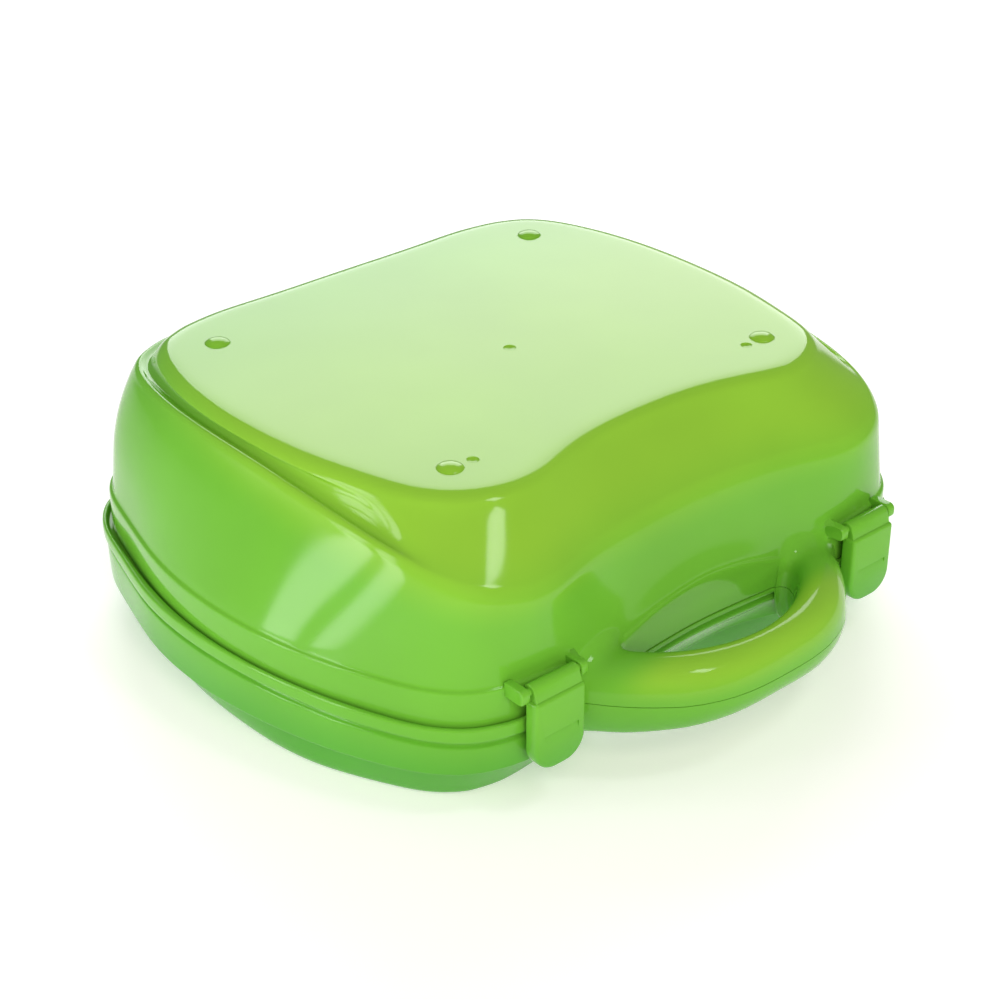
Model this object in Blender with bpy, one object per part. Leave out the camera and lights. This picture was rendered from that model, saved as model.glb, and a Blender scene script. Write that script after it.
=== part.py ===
"""Hinged carry case of moulded plastic, lying on its shallow cover with the deep tray uppermost.

Frame: +Z up, X to the right seen from the handle side, the handle towards -Y.
The origin is at the centre of the footprint, on the surface that the case lies on.
All dimensions below are in millimetres and become metres when the meshes are made.
"""
import math

import bmesh
import bpy
import numpy as np
from mathutils import Matrix, Vector

MM = 0.001
COLLECTION = "carry_case"

# Walls and clearances
WALL = 2.2
GAP = 0.3

# Heights
FLOOR_ROUND_TOP = 3.8
SKIRT_FOOT_FRONT = 21.0
SKIRT_FOOT_BACK = 16.5
PARTING = 38.2
LIP_TOP = 41.6
LIP_BEAD = 36.0
SHOULDER = 54.9
PANEL = 116.0

# Plan outlines of one half, front centre to back centre, as (x, y).
# The same station number lies on the same rib line of every outline.
SHOULDER_HALF = [(0, -97), (27, -98.4), (56, -101.1), (86, -101.8), (113, -93.5), (131.5, -64.5), (142.5, -29),
                 (147.4, 12), (143.5, 53), (133.5, 91), (118.5, 123.5), (93, 135.3), (46, 136.5), (0, 136.5)]
LIP_HALF = [(0, -97.2), (27, -98.6), (56, -101.3), (84, -104.6), (114.5, -96.6), (134.5, -66.5), (145.7, -28),
            (151.2, 16), (148.8, 56), (140, 90), (124, 125.5), (97, 138.8), (46, 140), (0, 140)]
SKIRT_HALF = [(0, -89.2), (27, -89.9), (55, -98), (84, -102.7), (113.5, -94.8), (133, -65.8), (144.2, -28),
              (149.7, 16), (147.3, 56), (138.5, 89.6), (122.8, 124.3), (96.5, 137.3), (46, 138.6), (0, 138.6)]
BODY_HALF = [(0, -77), (27, -78.5), (56, -83), (86, -87.2), (107, -81.5), (126.5, -56), (138.5, -28),
             (144.5, 10), (142, 50), (133, 86), (118, 119), (93, 131), (46, 132), (0, 132)]
RIDGE_HALF = [(0, -90.8), (27, -91.2), (56, -94.2), (84, -100), (107.5, -92), (120.5, -66), (125, -30),
              (127, 10), (125, 52), (118, 90), (106, 115), (86, 127), (43, 129.5), (0, 129.5)]
RIDGE_HEIGHT = [92.6, 91.6, 90, 89.6, 93.5, 100, 105, 109, 109, 108, 107.5, 107, 107, 107]
PANEL_HALF = [(0, -61), (24, -62.3), (48, -67.6), (72, -73), (97, -61.5), (109, -34), (114.5, -9), (117, 18),
              (116.5, 53), (109.5, 88), (98, 108), (80, 116.3), (42, 118), (0, 118)]
STEPS_PER_SPAN = 3

# Tray details
SHOULDER_STEP = 1.6
FOOT_RADIUS = 5.2
FOOT_RISE = 2.4
FOOT_SINK = 1.2
FOOT_PLACES = [(-82.3, -49.0), (82.3, -49.0), (-84.2, 92.0), (84.2, 92.0)]

# Handle, as matching points on its inner and outer edge at the parting plane
HANDLE_INNER = [(45.5, -100.6), (43, -107), (39, -112.2), (32, -117.6), (24, -121.9), (13, -125.8), (0, -127.6)]
HANDLE_OUTER = [(75, -101.4), (69.6, -107.6), (61.8, -117.6), (51.4, -127.7), (39.5, -136.1), (22, -142), (0, -143.4)]
HANDLE_UPPER = [(0.0, 0.0), (0.02, 8.0), (0.10, 12.0), (0.26, 13.6), (0.46, 13.5), (0.68, 12.2), (0.85, 9.2),
                (0.96, 4.6), (1.0, 0.0)]
HANDLE_LOWER = [(0.0, 0.0), (0.03, -6.0), (0.12, -9.4), (0.30, -10.2), (0.62, -10.2), (0.80, -9.0), (0.93, -5.4),
                (1.0, 0.0)]

# Where the lip stops at the handle: it is gone below the first and whole above the second
LIP_END_X = 76.0
LIP_FULL_X = 79.0
LIP_WALL = 1.9
BODY_INSET = 2.6

# Latches
LATCH_X = 85.0
LATCH_WIDTH = 23.8
LATCH_FRONT = -112.0
LATCH_BACK = -105.2
LATCH_TOP = 51.8
LATCH_BOTTOM = 21.4
LATCH_SIDE = 1.8
LATCH_SKIN = 2.4
LATCH_ROUND = 9.5
POCKET_FOOT = 31.0
HOOK_TOP = 35.0
HOOK_FOOT = 33.4
HOOK_TIP = -105.0
GROOVE_WIDTH = 16.6
GROOVE_MIDDLE = 36.5
GROOVE_HEIGHT = 0.7
GROOVE_DEPTH = 0.7
PIVOT_Y = -106.6
PIVOT_Z = 55.0
STRIP_WIDTH = 20.6
STRIP_RADIUS = 2.9
STUB_RADIUS = 1.5
STUB_LENGTH = 30.0
STUB_BORE_RADIUS = 1.75
EAR_INNER = 12.3
EAR_WIDTH = 3.0
EAR_RADIUS = 3.7
EAR_ROOT = -99.0
EAR_FOOT = 46.0

# Hinge
HINGE_X = 70.0
HINGE_Y = 140.3
HINGE_Z = 45.0
KNUCKLE_RADIUS = 3.0
TRAY_KNUCKLE = 14.0
COVER_KNUCKLE = 8.0
HINGE_PIN_RADIUS = 1.2
HINGE_BORE_RADIUS = 1.45
HINGE_PIN_LENGTH = 30.0
ROUND_SIDES = 24
TRAY_ARM = [(135.3, 42.4), (140.3, 42.4), (140.3, 47.6), (135.3, 47.6)]
COVER_ARM = [(138.5, 30.0), (139.0, 30.0), (143.2, 40.0), (143.2, 45.0), (138.5, 45.0)]


def clear_scene():
    for item in list(bpy.data.objects):
        bpy.data.objects.remove(item, do_unlink=True)


def make_collection(name):
    collection = bpy.data.collections.new(name)
    bpy.context.scene.collection.children.link(collection)
    return collection


def plastic(name, colour, roughness):
    material = bpy.data.materials.new(name)
    material.use_nodes = True
    shader = material.node_tree.nodes["Principled BSDF"]
    shader.inputs["Base Color"].default_value = (*colour, 1.0)
    shader.inputs["Roughness"].default_value = roughness
    shader.inputs["Metallic"].default_value = 0.0
    return material


def closed_spline(points, steps):
    """Smooth closed curve through the points, with the given number of steps in each span."""
    knots = np.array(points, float)
    count = len(knots)
    spans = np.linalg.norm(np.roll(knots, -1, axis=0)[:, :2] - knots[:, :2], axis=1)
    before = np.roll(spans, 1)
    system = np.zeros((count, count))
    target = np.zeros_like(knots)
    for i in range(count):
        prev, nxt = (i - 1) % count, (i + 1) % count
        system[i, prev] += spans[i]
        system[i, i] += 2.0 * (spans[i] + before[i])
        system[i, nxt] += before[i]
        rise = (knots[nxt] - knots[i]) / spans[i]
        run = (knots[i] - knots[prev]) / before[i]
        target[i] = 3.0 * (spans[i] * run + before[i] * rise)
    slopes = np.linalg.solve(system, target)
    curve = []
    for i in range(count):
        nxt = (i + 1) % count
        for step in range(steps):
            t = step / steps
            ease = t * t * (3.0 - 2.0 * t)
            bend = spans[i] * (t * (1 - t) ** 2 * slopes[i] - t * t * (1 - t) * slopes[nxt])
            curve.append(knots[i] * (1 - ease) + knots[nxt] * ease + bend)
    return np.array(curve)


def full_outline(half, heights):
    """Both halves of an outline, counter-clockwise seen from above, from the front centre."""
    right = [(x, y, z) for (x, y), z in zip(half, heights)]
    left = [(-x, y, z) for x, y, z in right[-2:0:-1]]
    return closed_spline(right + left, STEPS_PER_SPAN)


def level(half, height):
    return full_outline(half, [height] * len(half))


def offset(ring, distance, rise=0.0):
    """The ring moved outwards in plan by a distance and up by a rise."""
    ahead = np.roll(ring, -1, axis=0) - np.roll(ring, 1, axis=0)
    normal = np.stack([ahead[:, 1], -ahead[:, 0]], axis=1)
    normal /= np.linalg.norm(normal, axis=1)[:, None]
    moved = ring.copy()
    moved[:, :2] += normal * distance
    moved[:, 2] += rise
    return moved


def at_height(ring, height):
    flat = ring.copy()
    flat[:, 2] = height
    return flat


def blend(ring, other, share):
    return ring * (1.0 - share) + other * share


def add_object(name, mesh, collection, material=None):
    item = bpy.data.objects.new(name, mesh)
    collection.objects.link(item)
    if material:
        mesh.materials.append(material)
    return item


def finish(name, solid, collection, material=None):
    """The edited mesh as an object, with its faces pointing outwards."""
    bmesh.ops.recalc_face_normals(solid, faces=solid.faces[:])
    mesh = bpy.data.meshes.new(name)
    solid.to_mesh(mesh)
    solid.free()
    return add_object(name, mesh, collection, material)


def loft(name, rings, collection, material=None):
    """Closed solid through rings of equal length, with the first and the last ring filled."""
    solid = bmesh.new()
    rows = [[solid.verts.new(Vector(point) * MM) for point in ring] for ring in rings]
    for low, high in zip(rows, rows[1:]):
        for i in range(len(low)):
            j = (i + 1) % len(low)
            solid.faces.new((low[i], low[j], high[j], high[i]))
    solid.faces.new(rows[0][::-1])
    solid.faces.new(rows[-1])
    bmesh.ops.triangulate(solid, faces=solid.faces[:], quad_method="SHORT_EDGE")
    return finish(name, solid, collection, material)


def box(name, low, high, collection):
    solid = bmesh.new()
    bmesh.ops.create_cube(solid, size=1.0)
    for vert in solid.verts:
        vert.co = Vector([(low[k] if vert.co[k] < 0 else high[k]) * MM for k in range(3)])
    return finish(name, solid, collection)


def bar(name, centre, radius, length, collection, material=None):
    """Round bar along X about its centre."""
    solid = bmesh.new()
    bmesh.ops.create_cone(solid, cap_ends=True, segments=ROUND_SIDES, radius1=radius * MM,
                          radius2=radius * MM, depth=length * MM)
    turn = Matrix.Rotation(math.pi / 2, 4, "Y")
    bmesh.ops.transform(solid, matrix=Matrix.Translation(Vector(centre) * MM) @ turn, verts=solid.verts[:])
    return finish(name, solid, collection, material)


def slab(name, outline, low, high, axis, collection, material=None):
    """Flat outline extruded along X or Y: its points are the other two coordinates."""
    place = {"X": lambda a, b, depth: (depth, a, b), "Y": lambda a, b, depth: (a, depth, b)}[axis]
    solid = bmesh.new()
    near = [solid.verts.new(Vector(place(a, b, low)) * MM) for a, b in outline]
    far = [solid.verts.new(Vector(place(a, b, high)) * MM) for a, b in outline]
    solid.faces.new(near)
    solid.faces.new(far[::-1])
    for i in range(len(outline)):
        j = (i + 1) % len(outline)
        solid.faces.new((near[i], far[i], far[j], near[j]))
    return finish(name, solid, collection, material)


def join(target, tool, operation="UNION"):
    """Boolean modifier on the target, with the tool kept out of sight as a guide."""
    modifier = target.modifiers.new(tool.name, "BOOLEAN")
    modifier.operation = operation
    modifier.solver = "EXACT"
    modifier.object = tool
    tool.hide_render = True
    tool.display_type = "WIRE"


def tray_rings():
    """Rings of the deep shell, from the inner face of its panel down, round the rim and up outside."""
    shoulder = level(SHOULDER_HALF, SHOULDER)
    ridge = full_outline(RIDGE_HALF, RIDGE_HEIGHT)
    panel = level(PANEL_HALF, PANEL)
    rim = at_height(shoulder, PARTING + GAP)
    wall_foot = offset(shoulder, -SHOULDER_STEP, 0.6)
    wall_top = offset(ridge, 0.3, -4.0)
    outside = [
        rim,
        offset(shoulder, 0.0, -1.2),
        offset(shoulder, -0.5),
        wall_foot,
        blend(wall_foot, wall_top, 0.5),
        wall_top,
        offset(ridge, -0.8, -1.0),
        offset(ridge, -3.4),
        blend(offset(ridge, -6.0, -1.6), panel, 0.12),
        blend(offset(ridge, -7.0, -1.0), panel, 0.55),
        offset(panel, 3.2, -3.4),
        offset(panel, 0.8, -0.7),
        offset(panel, -4.0),
    ]
    inside = [offset(ring, -WALL, -WALL) for ring in outside[:3:-1]]
    inside += [
        offset(shoulder, -SHOULDER_STEP - WALL, -2.0),
        offset(shoulder, -WALL, -3.4),
        offset(rim, -WALL),
    ]
    return inside + outside


def grip_half(name, section, base, collection):
    """Half of the handle: a section between its inner and outer edge, lofted round the D."""
    inner = HANDLE_INNER + [(-x, y) for x, y in HANDLE_INNER[-2::-1]]
    outer = HANDLE_OUTER + [(-x, y) for x, y in HANDLE_OUTER[-2::-1]]
    rings = []
    for (ix, iy), (ox, oy) in zip(open_curve(inner), open_curve(outer)):
        rings.append([(ix + (ox - ix) * u, iy + (oy - iy) * u, base + rise) for u, rise in section])
    return loft(name, rings, collection)


def open_curve(points):
    """Catmull-Rom curve through the points."""
    knots = [np.array(point, float) for point in points]
    knots = [2 * knots[0] - knots[1]] + knots + [2 * knots[-1] - knots[-2]]
    curve = []
    for a, b, c, d in zip(knots, knots[1:], knots[2:], knots[3:]):
        for step in range(STEPS_PER_SPAN):
            t = step / STEPS_PER_SPAN
            curve.append(0.5 * (2 * b + (c - a) * t + (2 * a - 5 * b + 4 * c - d) * t ** 2
                                + (3 * b - a - 3 * c + d) * t ** 3))
    curve.append(knots[-2])
    return curve


def foot_dome(name, x, y, collection):
    """Low domed foot on the panel."""
    solid = bmesh.new()
    bmesh.ops.create_uvsphere(solid, u_segments=16, v_segments=8, radius=FOOT_RADIUS * MM)
    squash = Matrix.Diagonal((1.0, 1.0, (FOOT_RISE + FOOT_SINK) / FOOT_RADIUS, 1.0))
    lift = Matrix.Translation(Vector((x, y, PANEL - FOOT_SINK)) * MM)
    bmesh.ops.transform(solid, matrix=lift @ squash, verts=solid.verts[:])
    return finish(name, solid, collection)


def arc(centre, radius, start, end, count):
    """Points on an arc, from a start to an end angle in degrees."""
    angles = [math.radians(start + (end - start) * i / (count - 1)) for i in range(count)]
    return [(centre[0] + radius * math.cos(a), centre[1] + radius * math.sin(a)) for a in angles]


def make_tray(case, guides, material):
    tray = loft("tray_shell", tray_rings(), case, material)
    join(tray, grip_half("tray_grip_guide", HANDLE_UPPER, PARTING + GAP, guides))
    for number, (x, y) in enumerate(FOOT_PLACES):
        join(tray, foot_dome(f"foot_guide_{number}", x, y, guides))
    for side in (-1, 1):
        for edge in (-1, 1):
            low = side * LATCH_X + edge * EAR_INNER
            high = low + edge * EAR_WIDTH
            outline = [(EAR_ROOT, EAR_FOOT)] + arc((PIVOT_Y, PIVOT_Z), EAR_RADIUS, 225, 80, 9)
            outline += [(EAR_ROOT, PIVOT_Z + EAR_RADIUS)]
            ear = slab(f"ear_guide_{side}_{edge}", outline, min(low, high), max(low, high), "X", guides)
            join(tray, ear)
        bore = bar(f"stub_bore_guide_{side}", (side * LATCH_X, PIVOT_Y, PIVOT_Z), STUB_BORE_RADIUS,
                   STUB_LENGTH + 4.0, guides)
        join(tray, bore, "DIFFERENCE")
        knuckle(tray, f"tray_knuckle_{side}", side * HINGE_X, TRAY_KNUCKLE, TRAY_ARM, guides)
    return tray


def knuckle(target, name, middle, width, arm, guides):
    """Barrel of the hinge on an arm, bored for the pin."""
    low, high = middle - width / 2, middle + width / 2
    join(target, slab(f"{name}_arm_guide", arm, low, high, "X", guides))
    join(target, bar(f"{name}_guide", (middle, HINGE_Y, HINGE_Z), KNUCKLE_RADIUS, width, guides))
    bore = bar(f"{name}_bore_guide", (middle, HINGE_Y, HINGE_Z), HINGE_BORE_RADIUS, width + 0.3, guides)
    join(target, bore, "DIFFERENCE")


def cover_rings():
    """Rings of the shallow shell, from under its floor up outside, over the lip and down inside."""
    lip = level(LIP_HALF, PARTING)
    ledge = level(SHOULDER_HALF, PARTING)
    skirt = level(SKIRT_HALF, SKIRT_FOOT_FRONT)
    body = level(BODY_HALF, FLOOR_ROUND_TOP)
    depth = (skirt[:, 1] - skirt[:, 1].min()) / np.ptp(skirt[:, 1])
    skirt[:, 2] += (SKIRT_FOOT_BACK - SKIRT_FOOT_FRONT) * depth
    front = lip[:, 1] < 0
    share = np.clip((np.abs(lip[:, 0]) - LIP_END_X) / (LIP_FULL_X - LIP_END_X), 0.0, 1.0)
    share = np.where(front, share, 1.0)

    def lip_ring(distance, height):
        """Part of the lip, which sinks to the parting plane behind the handle."""
        ring = offset(lip, distance)
        ring[:, 2] = PARTING + (height - PARTING) * share
        return ring

    body_top = offset(skirt, -BODY_INSET)
    return [
        at_height(offset(body, -6.0), 0.0),
        at_height(offset(body, -1.8), 0.9),
        body,
        body_top,
        skirt,
        at_height(offset(lip, -0.8), LIP_BEAD - 0.6),
        at_height(lip, LIP_BEAD),
        lip_ring(0.0, LIP_TOP - 0.6),
        lip_ring(-0.6, LIP_TOP),
        lip_ring(0.5 - LIP_WALL, LIP_TOP),
        lip_ring(-LIP_WALL, LIP_TOP - 0.8),
        offset(lip, -LIP_WALL - 0.1, -0.2),
        offset(ledge, -WALL - 0.5, -0.2),
        offset(ledge, -WALL - 0.7, -3.0),
        offset(body_top, -WALL, 1.0),
        offset(body, -WALL, 1.0),
        at_height(offset(body, -WALL - 5.0), WALL),
    ]


def make_cover(case, guides, material):
    cover = loft("cover_shell", cover_rings(), case, material)
    join(cover, grip_half("cover_grip_guide", HANDLE_LOWER, PARTING, guides))
    for side in (-1, 1):
        for edge in (-1, 1):
            middle = side * HINGE_X + edge * (TRAY_KNUCKLE / 2 + GAP + COVER_KNUCKLE / 2)
            knuckle(cover, f"cover_knuckle_{side}_{edge}", middle, COVER_KNUCKLE, COVER_ARM, guides)
    return cover


def make_latch(name, middle, case, guides, material):
    """Snap latch: a shallow dished tongue under a strip that turns on stub pins between two ears."""
    half = LATCH_WIDTH / 2
    left = arc((LATCH_ROUND - half, LATCH_BOTTOM + LATCH_ROUND), LATCH_ROUND, 180, 270, 7)
    outline = left + [(-x, z) for x, z in reversed(left)] + [(half, LATCH_TOP), (-half, LATCH_TOP)]
    outline = [(middle + x, z) for x, z in outline]
    latch = slab(name, outline, LATCH_FRONT, LATCH_BACK, "Y", case, material)
    pocket_half = half - LATCH_SIDE
    pocket = box(f"{name}_pocket_guide", (middle - pocket_half, LATCH_FRONT + LATCH_SKIN, POCKET_FOOT),
                 (middle + pocket_half, LATCH_BACK + 1.0, LATCH_TOP - LATCH_SKIN), guides)
    join(latch, pocket, "DIFFERENCE")
    hook = box(f"{name}_hook_guide", (middle - pocket_half - 0.5, LATCH_FRONT + 1.0, HOOK_FOOT),
               (middle + pocket_half + 0.5, HOOK_TIP, HOOK_TOP), guides)
    join(latch, hook)
    strip = arc((PIVOT_Y, PIVOT_Z), STRIP_RADIUS, -20, 160, 13)
    strip += [(LATCH_FRONT + 1.2, LATCH_TOP - 0.6), (LATCH_BACK - 0.4, LATCH_TOP - 0.6)]
    join(latch, slab(f"{name}_strip_guide", strip, middle - STRIP_WIDTH / 2, middle + STRIP_WIDTH / 2,
                     "X", guides))
    join(latch, bar(f"{name}_stub_guide", (middle, PIVOT_Y, PIVOT_Z), STUB_RADIUS, STUB_LENGTH, guides))
    groove = box(f"{name}_groove_guide",
                 (middle - GROOVE_WIDTH / 2, LATCH_FRONT - 1.0, GROOVE_MIDDLE - GROOVE_HEIGHT / 2),
                 (middle + GROOVE_WIDTH / 2, LATCH_FRONT + GROOVE_DEPTH, GROOVE_MIDDLE + GROOVE_HEIGHT / 2),
                 guides)
    join(latch, groove, "DIFFERENCE")
    return latch


def main():
    clear_scene()
    case = make_collection(COLLECTION)
    guides = make_collection("guides")
    green = plastic("lime_plastic", (0.26, 0.60, 0.05), 0.18)
    natural = plastic("pin_plastic", (0.24, 0.55, 0.05), 0.3)
    make_cover(case, guides, green)
    make_tray(case, guides, green)
    for name, side in (("latch_left", -1), ("latch_right", 1)):
        latch = make_latch(name, side * LATCH_X, case, guides, green)
        set_origin(latch, (side * LATCH_X, PIVOT_Y, PIVOT_Z))
    for name, side in (("hinge_pin_left", -1), ("hinge_pin_right", 1)):
        bar(name, (side * HINGE_X, HINGE_Y, HINGE_Z), HINGE_PIN_RADIUS, HINGE_PIN_LENGTH, case, natural)


def set_origin(item, place):
    """Move an object's origin to a place, with its shape left where it is."""
    place = Vector(place) * MM
    item.data.transform(Matrix.Translation(-place))
    item.location = place


main()
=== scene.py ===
import math

import bmesh
import bpy
import numpy as np
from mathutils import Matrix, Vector


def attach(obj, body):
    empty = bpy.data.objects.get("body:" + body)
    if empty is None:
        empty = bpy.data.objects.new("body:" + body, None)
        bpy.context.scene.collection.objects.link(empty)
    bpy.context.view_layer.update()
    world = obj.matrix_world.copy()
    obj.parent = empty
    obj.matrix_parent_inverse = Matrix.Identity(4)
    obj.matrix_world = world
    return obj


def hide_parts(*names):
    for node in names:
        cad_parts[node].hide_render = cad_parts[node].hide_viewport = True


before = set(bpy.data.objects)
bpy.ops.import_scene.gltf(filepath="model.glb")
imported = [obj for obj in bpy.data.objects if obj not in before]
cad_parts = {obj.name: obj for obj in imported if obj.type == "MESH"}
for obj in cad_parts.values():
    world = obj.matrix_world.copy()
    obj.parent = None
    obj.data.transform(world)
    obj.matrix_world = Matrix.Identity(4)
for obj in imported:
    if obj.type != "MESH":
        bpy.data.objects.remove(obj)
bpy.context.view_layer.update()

MM = 0.001

# Heights above the floor, in millimetres
FLOOR_ROUND_TOP = 3.8
SKIRT_FOOT_FRONT = 21.0
SKIRT_FOOT_BACK = 16.5
LIP_BEAD = 36.0
PARTING = 38.2
LIP_TOP = 41.6
SHOULDER = 54.9
PANEL = 116.0

WALL = 2.2
GAP = 0.3

# Plan outlines, from the front centre round the right-hand side to the back centre
SHOULDER_HALF = [(0, -97), (27, -98.4), (56, -101.1), (86, -101.8), (113, -93.5), (131.5, -64.5),
                 (142.5, -29), (147.6, 12), (144.7, 53), (135.0, 91.3), (119.8, 124.2), (93, 135.3),
                 (46, 136.5), (0, 136.5)]
LIP_HALF = [(0, -97.2), (27, -98.6), (56, -101.3), (84, -104.6), (114.5, -96.6), (134.5, -66.5),
            (145.7, -28), (151.1, 16), (148.8, 56), (140, 90), (124, 125.5), (97, 138.8),
            (46, 140), (0, 140)]
SKIRT_HALF = [(0, -89.2), (27, -89.9), (55, -98), (84, -102.7), (113.5, -94.8), (133, -65.8),
              (144.2, -28), (149.7, 16), (147.3, 56), (138.5, 89.6), (122.8, 124.3), (96.5, 137.3),
              (46, 138.6), (0, 138.6)]
BODY_HALF = [(0, -77), (27, -78.5), (56, -83), (86, -87.2), (107, -81.8), (126.2, -56.4),
             (137.6, -28), (141.8, 10), (139.2, 50), (130.5, 86), (117, 118.5), (93, 131),
             (46, 132), (0, 132)]
RIDGE_HALF = [(0, -90.2), (27, -90.8), (56, -94.2), (84, -99.6), (107.0, -91.4), (119.8, -65.4),
              (124.4, -30), (126.8, 10), (125.4, 52), (119.8, 91.3), (108.3, 117), (87, 128.6),
              (43, 129.5), (0, 129.5)]
RIDGE_HEIGHT = [92.6, 91.6, 90, 89.6, 93.5, 100, 105, 109, 109, 108, 107.5, 107, 107, 107]
PANEL_HALF = [(0, -61), (24, -62.3), (48, -67.6), (72, -73), (97, -61.5), (109, -34),
              (114.5, -9), (117, 18), (116.5, 53), (109.5, 88), (98, 108), (80, 116.3),
              (42, 118), (0, 118)]
STEPS = 3

# Lower edge of the front wall over the hand hole: distance from the middle, height
LINTEL = [(0, 59.3), (8, 59.0), (15, 58.3), (27, 56.0), (38, 52.8), (46, 50.6), (54, 50.0),
          (62, 50.6), (72, 53.2), (80, 54.7), (90, SHOULDER)]
HOLE_HALF_WIDTH = 50.0

# Grip, from its root round to the middle: inner and outer edge in plan
GRIP_INNER = [(45.5, -100.6), (43, -107), (39, -112.2), (32, -117.6), (24, -121.9), (13, -125.8),
              (0, -127.6)]
GRIP_OUTER = [(75, -101.4), (69.6, -107.6), (61.8, -117.6), (51.4, -127.7), (39.5, -136.1),
              (22, -142), (0, -143.4)]
GRIP_WIDTH = 26.0
GRIP_FILLET = 7.0
GRIP_PLACES = 401
GRIP_STEP = 0.37
FLARE_INNER = 4.5
FLARE_OUTER = 1.2

# Half sections of the grip: share of the way from its inner to its outer edge, height
UPPER_SECTION = [(0, 0), (0.01, 5), (0.04, 9), (0.12, 12.2), (0.28, 13.6), (0.48, 13.4), (0.68, 12.0),
                 (0.84, 9.4), (0.95, 5.4), (1, 0)]
LOWER_SECTION = [(0, 0), (0.02, -4), (0.08, -7.8), (0.18, -9.8), (0.36, -10.3), (0.62, -10.2),
                 (0.80, -9), (0.93, -5.6), (0.99, -2.4), (1, 0)]

# Latches: a rounded plate hung from a strip and two stubs
LATCH_X = 85.0
LATCH_WIDTH = 23.8
LATCH_FRONT = -112.0
LATCH_BACK = -105.2
LATCH_TOP = 51.8
LATCH_BOTTOM = 21.4
LATCH_ROUND = 9.5
PIVOT_Y = -106.6
PIVOT_Z = 55.0
STRIP_WIDTH = 22.2
STRIP_RADIUS = 2.9
STUB_RADIUS = 1.5
STUB_LENGTH = 30.0
HOOK_TOP = 35.0
HOOK_FOOT = 33.4
HOOK_BACK = -105.0
SLIT_TOP = 36.9
SLIT_FOOT = 34.2
SLIT_HALF_WIDTH = 8.3

# Ears on the tray that carry the stubs
EAR_INNER = 12.3
EAR_WIDTH = 3.7
EAR_RADIUS = 2.35
EAR_ROOT = -98.6
EAR_FOOT = 51.2
SOCKET_RADIUS = 1.75
SOCKET_LENGTH = 30.6

# Hinges at the back
HINGE_X = 70.0
HINGE_Y = 140.3
HINGE_Z = 45.0
BARREL_RADIUS = 3.0
BORE_RADIUS = 1.45
PIN_RADIUS = 1.2
PIN_LENGTH = 30.0
TRAY_KNUCKLE = 14.0
COVER_KNUCKLE = 8.0

# Marks on the panel
FOOT_PLACES = [(-82.3, -49.0), (82.3, -49.0), (-84.2, 92.0), (84.2, 92.0)]
PIT_PLACES = [(-72.2, -49.8), (72.2, -49.8)]
GATE_PLACE = (0.0, 11.0)

# Plastics: colour low down (painted shade), on the walls, and on top (painted light from above), then
# roughness
LIME = ((0.078, 0.360, 0.026), (0.150, 0.455, 0.036), (0.262, 0.545, 0.040), 0.10)
NATURAL = ((0.090, 0.400, 0.030), (0.120, 0.470, 0.040), (0.200, 0.500, 0.040), 0.28)

# Camera, in metres and degrees
CAMERA_PLACE = (-0.5138, -0.5612, 0.4819)
CAMERA_DOWN = 29.527
CAMERA_TURN = 41.636
LENS = 76.88

# Soft lights: name, place, what it faces, size, power, colour, whether the plastic mirrors it
WHITE = (1.0, 1.0, 1.0)
LIGHTS = [
    ("overhead", (-0.15, -0.25, 1.5), (0, 0, 0.0), (1.3, 1.3), 0.5, (1.0, 0.99, 0.95), True),
    ("backdrop", (0.95, 1.10, 0.85), (0, 0, 0.1), (1.4, 1.0), 19.0, WHITE, True),
    ("front_box", (0.09, -0.53, 0.865), (-0.09, -0.08, 0.10), (0.14, 0.19), 0.9, WHITE, True),
    ("front_key", (-0.70, -1.10, 0.95), (0, 0, 0.06), (0.8, 0.8), 10.5, (1.0, 0.91, 0.74), False),
    ("low_front", (-0.2, -1.5, 0.45), (0, 0, 0.06), (0.8, 0.4), 4.6, (1.0, 0.93, 0.80), False),
]
WINDOW_CENTRE = (-0.13, -0.045)
WINDOW_DISTANCE = 0.42
WINDOW_SIZE = (0.066, 0.118)
WINDOW_POWER = 0.16


# ---------------------------------------------------------------- curves

def closed_spline(points, steps):
    """Smooth closed curve through the points, with the same number of steps in each span."""
    knots = np.array(points, float)
    count = len(knots)
    spans = np.linalg.norm(np.roll(knots, -1, axis=0) - knots, axis=1)
    before = np.roll(spans, 1)
    system = np.zeros((count, count))
    target = np.zeros_like(knots)
    for i in range(count):
        prev, nxt = (i - 1) % count, (i + 1) % count
        system[i, prev], system[i, i], system[i, nxt] = spans[i], 2.0 * (spans[i] + before[i]), before[i]
        rise = (knots[nxt] - knots[i]) / spans[i]
        run = (knots[i] - knots[prev]) / before[i]
        target[i] = 3.0 * (spans[i] * run + before[i] * rise)
    slopes = np.linalg.solve(system, target)
    curve = []
    for i in range(count):
        nxt = (i + 1) % count
        for step in range(steps):
            t = step / steps
            ease = t * t * (3.0 - 2.0 * t)
            bend = spans[i] * (t * (1 - t) ** 2 * slopes[i] - t * t * (1 - t) * slopes[nxt])
            curve.append(knots[i] * (1 - ease) + knots[nxt] * ease + bend)
    return np.array(curve)


def open_spline(points, count):
    """Smooth open curve through the points, at evenly spaced places along it."""
    knots = [np.array(point, float) for point in points]
    knots = [2 * knots[0] - knots[1]] + knots + [2 * knots[-1] - knots[-2]]
    fine = []
    for a, b, c, d in zip(knots, knots[1:], knots[2:], knots[3:]):
        for step in range(12):
            t = step / 12
            fine.append(0.5 * (2 * b + (c - a) * t + (2 * a - 5 * b + 4 * c - d) * t ** 2
                               + (3 * b - a - 3 * c + d) * t ** 3))
    fine.append(knots[-2])
    fine = np.array(fine)
    run = np.concatenate([[0.0], np.cumsum(np.linalg.norm(np.diff(fine, axis=0), axis=1))])
    places = np.linspace(0.0, run[-1], count)
    return np.stack([np.interp(places, run, fine[:, k]) for k in range(fine.shape[1])], axis=1)


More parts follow.
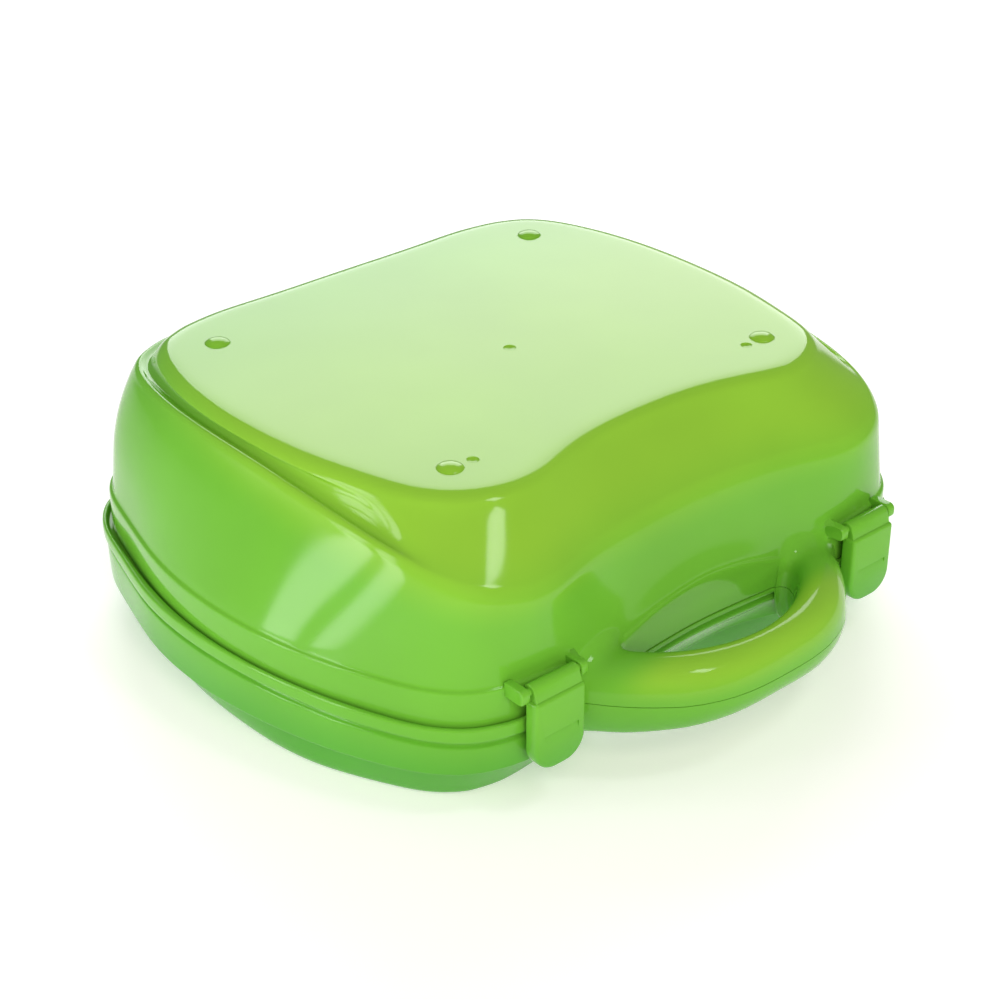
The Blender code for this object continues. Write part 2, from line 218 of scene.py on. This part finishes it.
def full_outline(half, heights):
    right = [(x, y, z) for (x, y), z in zip(half, heights)]
    left = [(-x, y, z) for x, y, z in right[-2:0:-1]]
    return closed_spline(right + left, STEPS)


def level(half, height):
    return full_outline(half, [height] * len(half))


def outward(ring):
    ahead = np.roll(ring, -1, axis=0) - np.roll(ring, 1, axis=0)
    normal = np.stack([ahead[:, 1], -ahead[:, 0]], axis=1)
    return normal / np.linalg.norm(normal, axis=1)[:, None]


def offset(ring, distance, rise=0.0):
    """The ring moved outwards in plan and up; distance and rise may differ round the ring."""
    moved = ring.copy()
    moved[:, :2] += outward(ring) * np.broadcast_to(distance, len(ring))[:, None]
    moved[:, 2] += rise
    return moved


def at_height(ring, height):
    flat = ring.copy()
    flat[:, 2] = height
    return flat


def blend(ring, other, share):
    share = np.broadcast_to(share, len(ring))[:, None]
    return ring * (1.0 - share) + other * share


def shift(ring, dy):
    moved = ring.copy()
    moved[:, 1] += dy
    return moved


def cage(ring):
    """Control points whose subdivided curve runs through the ring's points."""
    count = len(ring)
    system = np.eye(count) * 4.0 + np.roll(np.eye(count), 1, axis=0) + np.roll(np.eye(count), -1, axis=0)
    return np.linalg.solve(system, 6.0 * ring)


# ---------------------------------------------------------------- modelling

def deselect():
    if bpy.context.mode != "OBJECT":
        bpy.ops.object.mode_set(mode="OBJECT")
    bpy.ops.object.select_all(action="DESELECT")


def activate(piece):
    deselect()
    piece.select_set(True)
    bpy.context.view_layer.objects.active = piece


def apply_modifiers(piece):
    activate(piece)
    for modifier in list(piece.modifiers):
        bpy.ops.object.modifier_apply(modifier=modifier.name)


def subdivide(piece, levels):
    modifier = piece.modifiers.new("smooth", "SUBSURF")
    modifier.levels = modifier.render_levels = levels
    apply_modifiers(piece)


def bevel(piece, width, segments=3, angle=35.0):
    modifier = piece.modifiers.new("round", "BEVEL")
    modifier.width = width * MM
    modifier.segments = segments
    modifier.limit_method = "ANGLE"
    modifier.angle_limit = math.radians(angle)
    modifier.harden_normals = False
    apply_modifiers(piece)


def boolean(piece, tools, operation):
    for tool in tools:
        modifier = piece.modifiers.new(tool.name, "BOOLEAN")
        modifier.operation = operation
        modifier.solver = "EXACT"
        modifier.object = tool
        activate(piece)
        bpy.ops.object.modifier_apply(modifier=modifier.name)
        bpy.data.objects.remove(tool, do_unlink=True)


def smooth(piece, angle=32.0):
    activate(piece)
    bpy.ops.object.shade_smooth_by_angle(angle=math.radians(angle))


def soften_grip_roots(piece, times):
    """Join of the grip and the wall rubbed down to a soft hollow."""
    activate(piece)
    bpy.ops.object.mode_set(mode="EDIT")
    bpy.ops.mesh.select_mode(type="VERT")
    bpy.ops.mesh.select_all(action="DESELECT")
    solid = bmesh.from_edit_mesh(piece.data)
    for vert in solid.verts:
        across, y, z = abs(vert.co.x) / MM, vert.co.y / MM, vert.co.z / MM
        vert.select = 43.0 < across < 71.0 and -109.0 < y < -96.0 and 44.0 < z < 62.0
    solid.select_flush_mode()
    bmesh.update_edit_mesh(piece.data)
    bpy.ops.mesh.vertices_smooth(factor=0.5, repeat=times)
    bpy.ops.object.mode_set(mode="OBJECT")


def settle(piece):
    """Place kept in the mesh, with the object at the origin."""
    activate(piece)
    bpy.ops.object.transform_apply(location=True, rotation=True, scale=True)


def extrude_through(name, rings, even=True):
    """A ring of edges placed at the first ring and extruded through the others, then closed."""
    deselect()
    bpy.ops.mesh.primitive_circle_add(vertices=len(rings[0]), radius=0.1, fill_type="NOTHING")
    piece = bpy.context.object
    piece.name = piece.data.name = name
    bpy.ops.object.mode_set(mode="EDIT")
    solid = bmesh.from_edit_mesh(piece.data)
    place = solid.verts.layers.int.new("place")
    solid.verts.ensure_lookup_table()
    for number, vert in enumerate(solid.verts):
        vert[place] = number
    shaped = [cage(np.array(ring, float)) if even else np.array(ring, float) for ring in rings]
    for number, ring in enumerate(shaped):
        if number:
            bpy.ops.mesh.extrude_edges_move()
            solid = bmesh.from_edit_mesh(piece.data)
            place = solid.verts.layers.int["place"]
        for vert in solid.verts:
            if vert.select:
                vert.co = Vector(ring[vert[place]]) * MM
        bmesh.update_edit_mesh(piece.data)
    bpy.ops.mesh.edge_face_add()
    bpy.ops.mesh.select_all(action="DESELECT")
    bpy.ops.mesh.select_mode(type="EDGE")
    bpy.ops.mesh.select_non_manifold(extend=False, use_wire=False, use_boundary=True,
                                     use_multi_face=False, use_non_contiguous=False, use_verts=False)
    bpy.ops.mesh.edge_face_add()
    bpy.ops.mesh.select_mode(type="VERT")
    bpy.ops.mesh.select_all(action="SELECT")
    bpy.ops.mesh.normals_make_consistent(inside=False)
    bpy.ops.object.mode_set(mode="OBJECT")
    return piece


def extrude_outline(name, outline, low, high, axis):
    """A flat outline extruded along X or Y; its points are the other two coordinates."""
    place = {"X": lambda a, b, depth: (depth, a, b), "Y": lambda a, b, depth: (a, depth, b)}[axis]
    rings = [[place(a, b, depth) for a, b in outline] for depth in (low, high)]
    return extrude_through(name, rings, even=False)


def block(name, low, high):
    deselect()
    bpy.ops.mesh.primitive_cube_add(size=1.0)
    piece = bpy.context.object
    piece.name = name
    low, high = Vector(low) * MM, Vector(high) * MM
    piece.location = (low + high) / 2
    piece.scale = high - low
    settle(piece)
    return piece


def rod(name, centre, radius, length, sides=48):
    deselect()
    bpy.ops.mesh.primitive_cylinder_add(vertices=sides, radius=radius * MM, depth=length * MM,
                                        location=Vector(centre) * MM, rotation=(0, math.pi / 2, 0))
    piece = bpy.context.object
    piece.name = name
    settle(piece)
    return piece


def dome(name, x, y, z, radius, height):
    deselect()
    bpy.ops.mesh.primitive_uv_sphere_add(segments=48, ring_count=24, radius=radius * MM)
    piece = bpy.context.object
    piece.name = name
    piece.scale = (1.0, 1.0, height / radius)
    piece.location = Vector((x, y, z)) * MM
    settle(piece)
    return piece


def arc(centre, radius, start, end, count):
    angles = [math.radians(start + (end - start) * i / (count - 1)) for i in range(count)]
    return [(centre[0] + radius * math.cos(a), centre[1] + radius * math.sin(a)) for a in angles]


# ---------------------------------------------------------------- finishes

def add_noise(tree, place, scale, detail=2.0):
    noise = tree.nodes.new("ShaderNodeTexNoise")
    noise.inputs["Scale"].default_value = scale
    noise.inputs["Detail"].default_value = detail
    tree.links.new(place, noise.inputs["Vector"])
    return noise.outputs["Fac"]


def add_ramp(tree, value, low, high, low_result=0.0, high_result=1.0, eased=True):
    ramp = tree.nodes.new("ShaderNodeMapRange")
    if eased:
        ramp.interpolation_type = "SMOOTHSTEP"
    ramp.inputs["From Min"].default_value = low
    ramp.inputs["From Max"].default_value = high
    ramp.inputs["To Min"].default_value = low_result
    ramp.inputs["To Max"].default_value = high_result
    tree.links.new(value, ramp.inputs["Value"])
    return ramp.outputs["Result"]


def add_multiply_add(tree, value, factor, addend):
    """The value times the factor, which may be a number or a socket, plus the addend."""
    node = tree.nodes.new("ShaderNodeMath")
    node.operation = "MULTIPLY_ADD"
    tree.links.new(value, node.inputs[0])
    if isinstance(factor, float):
        node.inputs[1].default_value = factor
    else:
        tree.links.new(factor, node.inputs[1])
    tree.links.new(addend, node.inputs[2])
    return node


def add_bump(tree, height, strength, distance, normal=None):
    bump = tree.nodes.new("ShaderNodeBump")
    bump.inputs["Strength"].default_value = strength
    bump.inputs["Distance"].default_value = distance
    tree.links.new(height, bump.inputs["Height"])
    if normal is not None:
        tree.links.new(normal, bump.inputs["Normal"])
    return bump.outputs["Normal"]


def moulded_plastic(name, painted_shade_colour, wall_colour, painted_light_top_colour, roughness):
    """Glossy plastic, yellower on top with painted light from above and deeper green low down with
    painted shade, with moulding sag and fine grain.
    """
    material = bpy.data.materials.new(name)
    material.use_nodes = True
    tree = material.node_tree
    shader = tree.nodes["Principled BSDF"]
    shader.inputs["Roughness"].default_value = roughness
    shader.inputs["IOR"].default_value = 1.5
    shader.inputs["Specular IOR Level"].default_value = 0.26
    place = tree.nodes.new("ShaderNodeTexCoord").outputs["Object"]
    axes = tree.nodes.new("ShaderNodeSeparateXYZ")
    tree.links.new(place, axes.inputs[0])
    y, z = axes.outputs["Y"], axes.outputs["Z"]

    # Painted light from above: top colour high up, earlier in front than behind, and on top of the grip
    lean = add_multiply_add(tree, y, -0.15, z).outputs["Value"]
    climb = add_ramp(tree, lean, 0.090, 0.116)
    forward = add_ramp(tree, y, -0.1125, -0.1260)
    raised = add_ramp(tree, z, 0.038, 0.050)
    painted_top_light = add_multiply_add(tree, forward, raised, climb)
    painted_top_light.use_clamp = True
    tone = tree.nodes.new("ShaderNodeMix")
    tone.data_type = "RGBA"
    tone.inputs["A"].default_value = (*wall_colour, 1.0)
    tone.inputs["B"].default_value = (*painted_light_top_colour, 1.0)
    tree.links.new(painted_top_light.outputs["Value"], tone.inputs["Factor"])
    # Painted shade: deeper green low down, below about 46 mm
    painted_shade_mix = tree.nodes.new("ShaderNodeMix")
    painted_shade_mix.data_type = "RGBA"
    painted_shade_mix.inputs["B"].default_value = (*painted_shade_colour, 1.0)
    tree.links.new(add_ramp(tree, z, 0.012, 0.046, 1.0, 0.0), painted_shade_mix.inputs["Factor"])
    tree.links.new(tone.outputs["Result"], painted_shade_mix.inputs["A"])

    # Colour that drifts a little from place to place
    cloud = tree.nodes.new("ShaderNodeHueSaturation")
    drift = add_ramp(tree, add_noise(tree, place, 14.0), 0.3, 0.7, 0.95, 1.05, eased=False)
    tree.links.new(drift, cloud.inputs["Value"])
    tree.links.new(painted_shade_mix.outputs["Result"], cloud.inputs["Color"])
    tree.links.new(cloud.outputs["Color"], shader.inputs["Base Color"])

    sag = add_bump(tree, add_noise(tree, place, 9.0, 1.0), 0.12, 0.004)
    grain = add_bump(tree, add_noise(tree, place, 900.0), 0.02, 0.0002, sag)
    tree.links.new(grain, shader.inputs["Normal"])
    return material


def floor_paint():
    """White paint that glows a little, so that the floor is lit evenly."""
    material = bpy.data.materials.new("floor_paint")
    material.use_nodes = True
    tree = material.node_tree
    shader = tree.nodes["Principled BSDF"]
    shader.inputs["Roughness"].default_value = 0.7
    shader.inputs["Emission Color"].default_value = (1.0, 1.0, 1.0, 1.0)
    shader.inputs["Emission Strength"].default_value = 0.34
    noise = tree.nodes.new("ShaderNodeTexNoise")
    noise.inputs["Scale"].default_value = 3.0
    shade = add_ramp(tree, noise.outputs["Fac"], 0.0, 1.0, 0.88, 0.92, eased=False)
    tree.links.new(shade, shader.inputs["Base Color"])
    return material


# ---------------------------------------------------------------- camera, floor and light

def add_camera():
    data = bpy.data.cameras.new("camera")
    data.lens = LENS
    data.sensor_width = 36.0
    camera = bpy.data.objects.new("camera", data)
    bpy.context.collection.objects.link(camera)
    camera.location = CAMERA_PLACE
    camera.rotation_euler = (math.radians(90.0 - CAMERA_DOWN), 0.0, math.radians(-CAMERA_TURN))
    bpy.context.scene.camera = camera


def add_area(name, place, target, size, power, colour=WHITE, mirrored=True):
    data = bpy.data.lights.new(name, "AREA")
    data.shape = "RECTANGLE"
    data.size, data.size_y = size
    data.energy = power
    data.color = colour
    lamp = bpy.data.objects.new(name, data)
    bpy.context.collection.objects.link(lamp)
    lamp.location = place
    lamp.rotation_euler = (Vector(target) - Vector(place)).to_track_quat("-Z", "Y").to_euler()
    lamp.visible_camera = False
    lamp.visible_glossy = mirrored


def add_windows():
    """Two columns of three window panes, off to the left."""
    centre = Vector((*WINDOW_CENTRE, 0.0))
    for column in range(2):
        turn = math.radians(-62.0 - 14.0 * column)
        away = WINDOW_DISTANCE * Vector((math.sin(turn), math.cos(turn), 0.0))
        for row in range(3):
            rise = Vector((0.0, 0.0, 0.070 + 0.138 * row))
            add_area(f"window_{column}_{row}", centre + away + rise, centre + rise, WINDOW_SIZE,
                     WINDOW_POWER)


def add_studio():
    world = bpy.data.worlds.new("studio")
    bpy.context.scene.world = world
    world.use_nodes = True
    sky = world.node_tree.nodes["Background"]
    sky.inputs["Color"].default_value = (1.0, 1.0, 1.0, 1.0)
    sky.inputs["Strength"].default_value = 0.23
    deselect()
    bpy.ops.mesh.primitive_plane_add(size=60.0)
    floor = bpy.context.object
    floor.name = "floor"
    floor.data.materials.append(floor_paint())
    for light in LIGHTS:
        add_area(*light)
    add_windows()


# ---------------------------------------------------------------- tray

def tray_rings():
    """Rings from the middle of the panel's inside, down the inside and up the outside to the panel."""
    shoulder = level(SHOULDER_HALF, SHOULDER)
    ridge = full_outline(RIDGE_HALF, RIDGE_HEIGHT)
    panel = level(PANEL_HALF, PANEL)
    across = np.abs(shoulder[:, 0])
    front = shoulder[:, 1] < -60.0
    mouth = np.where(front, np.clip(1.0 - (across / HOLE_HALF_WIDTH) ** 2, 0.0, 1.0), 0.0)
    lintel = np.where(front, np.interp(across, *zip(*LINTEL)), SHOULDER)
    depth = shoulder[:, 1]
    # Shares round the outline, 0 to 1: the sides, their bulging back part, and the front
    side = np.clip((across - 80.0) / 50.0, 0.0, 1.0)
    bulge = side * np.clip((depth - 10.0) / 75.0, 0.0, 1.0)
    ahead = np.clip((-50.0 - depth) / 32.0, 0.0, 1.0)
    step = 1.0 - 0.8 * mouth
    edge = shift(shoulder, -2.2 * mouth)
    edge[:, 2] = lintel
    foot = offset(edge, -1.8 * step, 2.4)
    top = offset(ridge, 0.4, -4.6)
    brow = offset(ridge, -1.6, -0.3)
    slope_top = offset(panel, 4.2, -4.6)

    def shelf(distance, rise, share, front_share):
        """Valley behind the ridge at the sides, which gives way to a plain slope in front."""
        valley = blend(offset(ridge, distance, rise), panel, share)
        return blend(valley, blend(brow, slope_top, front_share), ahead)

    rim = [
        offset(at_height(shoulder, PARTING + GAP), -0.7),
        offset(at_height(shoulder, PARTING + GAP), -0.15),
        offset(at_height(shoulder, PARTING + GAP + 0.6), 0.0),
        shift(at_height(shoulder, 45.0), -0.3 * mouth),
    ]
    shoulder_round = [
        offset(edge, 0.0, -2.6),
        offset(edge, 0.0, -0.9),
        offset(edge, -0.25 * step, -0.1),
        offset(edge, -0.9 * step, 0.3),
        offset(edge, -1.5 * step, 0.7),
        foot,
    ]
    wall = [
        offset(shift(blend(foot, top, 0.2), 1.5 * mouth), 1.6 * bulge),
        offset(shift(blend(foot, top, 0.42), 1.2 * mouth), 3.5 * bulge),
        offset(shift(blend(foot, top, 0.66), 0.7 * mouth), 4.0 * bulge),
        offset(shift(blend(foot, top, 0.86), 0.2 * mouth), 2.8 * bulge),
        offset(top, 1.1 * bulge),
    ]
    ridge_and_valley = [
        offset(ridge, 0.1 - 0.5 * ahead, -2.8),
        offset(ridge, -0.6 - 0.7 * ahead, -1.3),
        shelf(-1.9, -0.2, 0.0, 0.05),
        shelf(-3.2, 0.0, 0.0, 0.11),
        shelf(-4.3, -0.3 - 0.5 * side, 0.0, 0.19),
        shelf(-5.8, -1.0 - 0.9 * side, 0.06, 0.30),
        shelf(-7.0, -1.4 - 0.4 * side, 0.25, 0.50),
        shelf(-7.0, -1.0, 0.60, 0.78),
    ]
    panel_edge = [
        offset(panel, 4.3, -4.7),
        offset(panel, 2.6, -2.5),
        offset(panel, 0.6, -1.05),
        offset(panel, -2.0, -0.3),
        offset(panel, -5.0, -0.05),
        offset(panel, -8.5),
    ]
    inside = [
        offset(at_height(shoulder, PARTING + GAP), -WALL + 0.3),
        offset(at_height(shoulder, PARTING + GAP + 0.6), -WALL),
        offset(at_height(shoulder, SHOULDER - 3.0), -WALL),
        offset(at_height(shoulder, SHOULDER + 1.0), -WALL - 1.6),
        offset(blend(shoulder, ridge, 0.5), -WALL - 0.8),
        offset(ridge, -WALL, -6.0),
        offset(ridge, -WALL - 1.6, -2.6),
        blend(offset(ridge, -9.0, -3.4), panel, 0.3),
        offset(panel, 1.2, -6.4),
        offset(panel, -2.0, -WALL - 0.3),
        offset(panel, -8.0, -WALL),
    ]
    return inside[::-1] + rim + shoulder_round + wall + ridge_and_valley + panel_edge


def grip(name, section, base, root_rise, root_depth):
    """Half of the grip round the D, deeper at its roots, with a fillet where it leaves the wall."""
    inner, outer = (open_spline(edge + [(-x, y) for x, y in edge[-2::-1]], GRIP_PLACES)
                    for edge in (GRIP_INNER, GRIP_OUTER))
    profile = open_spline([(share * GRIP_WIDTH, rise) for share, rise in section], 26)
    profile = profile / np.array([GRIP_WIDTH, 1.0])
    profile = np.concatenate([profile, [(0.75, 0.0), (0.5, 0.0), (0.25, 0.0)]])
    # Places along the grip, closest together in the fillet
    half = [0, 1, 2, 4, 6, 9, 12, 16, 20, 25, 30, 37, 45, 54, 64, 75, 87, 100, 114, 128, 143, 157,
            171, 186]
    last = GRIP_PLACES - 1
    places = [0] + half + [last // 2] + [last - place for place in half[::-1]] + [last]
    rings = []
    for number, place in enumerate(places):
        near, far = inner[place], outer[place]
        side = 1.0 if number < len(places) / 2 else -1.0
        run = min(place, last - place) * GRIP_STEP
        back = max(0.0, GRIP_FILLET - run)
        flare = (GRIP_FILLET - math.sqrt(GRIP_FILLET ** 2 - back ** 2)) / GRIP_FILLET
        near = near - np.array([side * FLARE_INNER * flare, 0.0])
        far = far + np.array([side * FLARE_OUTER * flare, 0.0])
        deepen = 1.0 + root_depth * (abs(far[0]) / 70.0) ** 1.5
        # The ends are sunk into the wall, which leans back above the shoulder
        sink = 1.2 if number in (0, len(places) - 1) else 0.2
        ring = []
        for share, rise in profile:
            height = base + rise * (deepen + root_rise * flare)
            above = min(1.0, max(0.0, (height - 51.0) / 4.0))
            x, y = near + (far - near) * share
            ring.append((x, y + sink + 1.7 * above * flare, height))
        rings.append(ring)
    return extrude_through(name, rings, even=False)


def barrel(name, middle, width, arm):
    """A hinge knuckle and the arm that joins it to its shell."""
    low, high = middle - width / 2, middle + width / 2
    plate = extrude_outline(f"{name}_arm", arm, low, high, "X")
    bevel(plate, 0.4, 2)
    return [plate, rod(f"{name}_barrel", (middle, HINGE_Y, HINGE_Z), BARREL_RADIUS, width)]


def make_ear(side, edge):
    """Boxy boss beside a latch, with a rounded front."""
    low = side * LATCH_X + edge * EAR_INNER
    high = low + edge * EAR_WIDTH
    outline = [(EAR_ROOT, EAR_FOOT), (EAR_ROOT, PIVOT_Z + EAR_RADIUS)]
    outline += arc((PIVOT_Y, PIVOT_Z), EAR_RADIUS, 88, 180, 10)
    outline += arc((PIVOT_Y, EAR_FOOT + EAR_RADIUS), EAR_RADIUS, 182, 268, 8)
    ear = extrude_outline("ear", outline, min(low, high), max(low, high), "X")
    bevel(ear, 0.6, 4, 50)
    return ear


def make_tray():
    tray = extrude_through("tray_case", tray_rings())
    subdivide(tray, 2)
    joined = [grip("upper_grip", UPPER_SECTION, PARTING + GAP, 0.36, 0.0)]
    joined += [make_ear(side, edge) for side in (-1, 1) for edge in (-1, 1)]
    joined += [dome("foot", x, y, PANEL - 1.0, 5.6, 2.8) for x, y in FOOT_PLACES]
    cuts = []
    arm = [(HINGE_Y - 5.0, HINGE_Z - 2.6), (HINGE_Y, HINGE_Z - 2.6), (HINGE_Y, HINGE_Z + 2.6),
           (HINGE_Y - 5.0, HINGE_Z + 2.6)]
    for side in (-1, 1):
        hinge = (side * HINGE_X, HINGE_Y, HINGE_Z)
        pivot = (side * LATCH_X, PIVOT_Y, PIVOT_Z)
        joined += barrel("tray_hinge", side * HINGE_X, TRAY_KNUCKLE, arm)
        cuts.append(rod("bore", hinge, BORE_RADIUS, TRAY_KNUCKLE + 0.3))
        cuts.append(rod("socket", pivot, SOCKET_RADIUS, SOCKET_LENGTH))
    cuts.append(dome("gate", *GATE_PLACE, PANEL + 0.8, 3.0, 1.6))
    cuts += [dome("pit", x, y, PANEL + 0.6, 2.6, 1.5) for x, y in PIT_PLACES]
    boolean(tray, joined, "UNION")
    boolean(tray, cuts, "DIFFERENCE")
    soften_grip_roots(tray, 8)
    smooth(tray)
    return tray


# ---------------------------------------------------------------- cover

def cover_rings():
    """Rings from the middle of the underside, up the outside, over the lip and down the inside."""
    lip = level(LIP_HALF, PARTING)
    ledge = level(SHOULDER_HALF, PARTING)
    skirt = level(SKIRT_HALF, SKIRT_FOOT_FRONT)
    body = level(BODY_HALF, FLOOR_ROUND_TOP)
    # The skirt's foot drops from the front to the sides and stays low behind
    fall = np.interp(skirt[:, 1], [-100, -45, 15], [0.0, 0.62, 1.1])
    skirt[:, 2] += (SKIRT_FOOT_BACK - SKIRT_FOOT_FRONT) * fall
    body_top = offset(skirt, -4.2, 4.5)
    bead = at_height(lip, LIP_BEAD)
    # The lip sinks to the parting line between the latches, where the grip's halves meet
    stands = np.clip((np.abs(lip[:, 0]) - 76.0) / 3.0, 0.0, 1.0)
    stands = np.where(lip[:, 1] < 0, stands, 1.0)
    # Inner edge of the lip: close to the tray in front and further off behind
    snug = np.clip((105.0 - lip[:, 1]) / 50.0, 0.0, 1.0) * stands
    inner_lip = blend(offset(lip, -2.0), offset(ledge, 0.8), snug)

    def lip_ring(ring, distance, height):
        ring = offset(ring, distance)
        ring[:, 2] = PARTING + (height - PARTING) * stands
        return ring

    underside = [
        at_height(offset(body, -14.0), 0.0),
        at_height(offset(body, -7.0), 0.0),
        at_height(offset(body, -3.4), 0.4),
        at_height(offset(body, -1.2), 1.8),
    ]
    body_side = [
        offset(body, 0.0, 1.0),
        blend(body, body_top, 0.35),
        blend(body, body_top, 0.75),
        offset(body_top, 0.0, -0.9),
        body_top,
        offset(body_top, 1.0, 0.2),
    ]
    skirt_side = [
        offset(skirt, -1.7, 3.8),
        offset(skirt, -1.5, 0.8),
        offset(skirt, -1.2, 0.05),
        offset(skirt, -0.5, -0.05),
        offset(skirt, -0.05, 0.4),
        offset(skirt, 0.0, 1.6),
        blend(skirt, offset(bead, -0.9), 0.5),
    ]
    groove_and_bead = [
        offset(bead, -1.2, -4.2),
        offset(bead, -1.4, -3.0),
        offset(bead, -2.6, -2.6),
        offset(bead, -2.8, -1.2),
        offset(bead, -2.5, -0.3),
        offset(bead, -1.2, -0.15),
        offset(bead, -0.4, -0.1),
        offset(bead, 0.0, 0.5),
    ]
    upstanding_lip = [
        lip_ring(lip, 0.0, LIP_TOP - 1.7),
        lip_ring(lip, -0.15, LIP_TOP - 0.5),
        lip_ring(lip, -0.8, LIP_TOP),
        lip_ring(inner_lip, 0.7, LIP_TOP),
        lip_ring(inner_lip, 0.1, LIP_TOP - 0.4),
        lip_ring(inner_lip, -0.05, LIP_TOP - 1.4),
        lip_ring(inner_lip, -0.15, PARTING + 0.5),
        lip_ring(inner_lip, -0.5, PARTING - 0.1),
    ]
    inside = [
        offset(ledge, -WALL - 0.2, -0.2),
        offset(ledge, -WALL - 0.7, -0.6),
        offset(ledge, -WALL - 0.7, -3.0),
        offset(body_top, -1.9, 1.0),
        offset(body, -WALL, 2.0),
        at_height(offset(body, -WALL - 1.4), 3.2),
        at_height(offset(body, -WALL - 5.0), WALL),
        at_height(offset(body, -WALL - 12.0), WALL),
    ]
    return underside + body_side + skirt_side + groove_and_bead + upstanding_lip + inside


def make_cover():
    cover = extrude_through("cover_case", cover_rings())
    subdivide(cover, 2)
    joined = [grip("lower_grip", LOWER_SECTION, PARTING, 0.0, 0.64)]
    cuts = []
    arm = [(138.5, 30), (139, 30), (143.2, 40), (143.2, 45), (138.5, 45)]
    for side in (-1, 1):
        for edge in (-1, 1):
            middle = side * HINGE_X + edge * (TRAY_KNUCKLE / 2 + GAP + COVER_KNUCKLE / 2)
            joined += barrel("cover_hinge", middle, COVER_KNUCKLE, arm)
            cuts.append(rod("bore", (middle, HINGE_Y, HINGE_Z), BORE_RADIUS, COVER_KNUCKLE + 0.3))
    boolean(cover, joined, "UNION")
    boolean(cover, cuts, "DIFFERENCE")
    smooth(cover)
    return cover


# ---------------------------------------------------------------- latches and pins

def make_latch(name, middle):
    """Rounded plate with a hook and a pocket behind it, a strip above and two stubs."""
    half = LATCH_WIDTH / 2
    left = arc((LATCH_ROUND - half, LATCH_BOTTOM + LATCH_ROUND), LATCH_ROUND, 180, 270, 12)
    outline = left + [(-x, z) for x, z in reversed(left)] + [(half, LATCH_TOP), (-half, LATCH_TOP)]
    outline = [(middle + x, z) for x, z in outline]
    latch = extrude_outline(name, outline, LATCH_FRONT, LATCH_BACK, "Y")
    bevel(latch, 1.5, 4)
    pocket = block("pocket", (middle - half + 1.8, LATCH_FRONT + 2.4, 31.0),
                   (middle + half - 1.8, LATCH_BACK + 1.0, LATCH_TOP - 2.4))
    boolean(latch, [pocket], "DIFFERENCE")
    hook = block("hook", (middle - half + 1.3, LATCH_FRONT + 1.0, HOOK_FOOT),
                 (middle + half - 1.3, HOOK_BACK, HOOK_TOP))
    strip = arc((PIVOT_Y, PIVOT_Z), STRIP_RADIUS, -20, 160, 18)
    strip += [(LATCH_FRONT + 1.2, LATCH_TOP - 0.6), (LATCH_BACK - 0.4, LATCH_TOP - 0.6)]
    strip = extrude_outline("strip", strip, middle - STRIP_WIDTH / 2, middle + STRIP_WIDTH / 2, "X")
    bevel(strip, 0.45, 3, 50)
    stub = rod("stub", (middle, PIVOT_Y, PIVOT_Z), STUB_RADIUS, STUB_LENGTH, 32)
    boolean(latch, [hook, strip, stub], "UNION")
    slit = [(LATCH_FRONT - 1.0, SLIT_TOP), (LATCH_FRONT + 1.0, SLIT_TOP),
            (LATCH_FRONT - 0.05, SLIT_FOOT), (LATCH_FRONT - 1.0, SLIT_FOOT)]
    slit = extrude_outline("slit", slit, middle - SLIT_HALF_WIDTH, middle + SLIT_HALF_WIDTH, "X")
    boolean(latch, [slit], "DIFFERENCE")
    smooth(latch)
    return latch


def make_pin(name, middle):
    pin = rod(name, (middle, HINGE_Y, HINGE_Z), PIN_RADIUS, PIN_LENGTH, 32)
    bevel(pin, 0.3, 3)
    smooth(pin)
    return pin


# ---------------------------------------------------------------- assembly

def finish_piece(piece, material, body, node):
    piece.data.materials.clear()
    piece.data.materials.append(material)
    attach(piece, body)
    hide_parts(node)


bpy.context.scene.view_settings.view_transform = "Standard"
add_camera()
add_studio()
lime = moulded_plastic("lime_plastic", *LIME)
natural = moulded_plastic("pin_plastic", *NATURAL)
finish_piece(make_tray(), lime, "tray", "tray_shell")
finish_piece(make_cover(), lime, "cover", "cover_shell")
for side, sign in (("left", -1), ("right", 1)):
    finish_piece(make_latch(f"{side}_snap_latch", sign * LATCH_X), lime, f"{side}_latch",
                 f"latch_{side}")
    finish_piece(make_pin(f"{side}_hinge_rod", sign * HINGE_X), natural, "cover",
                 f"hinge_pin_{side}")
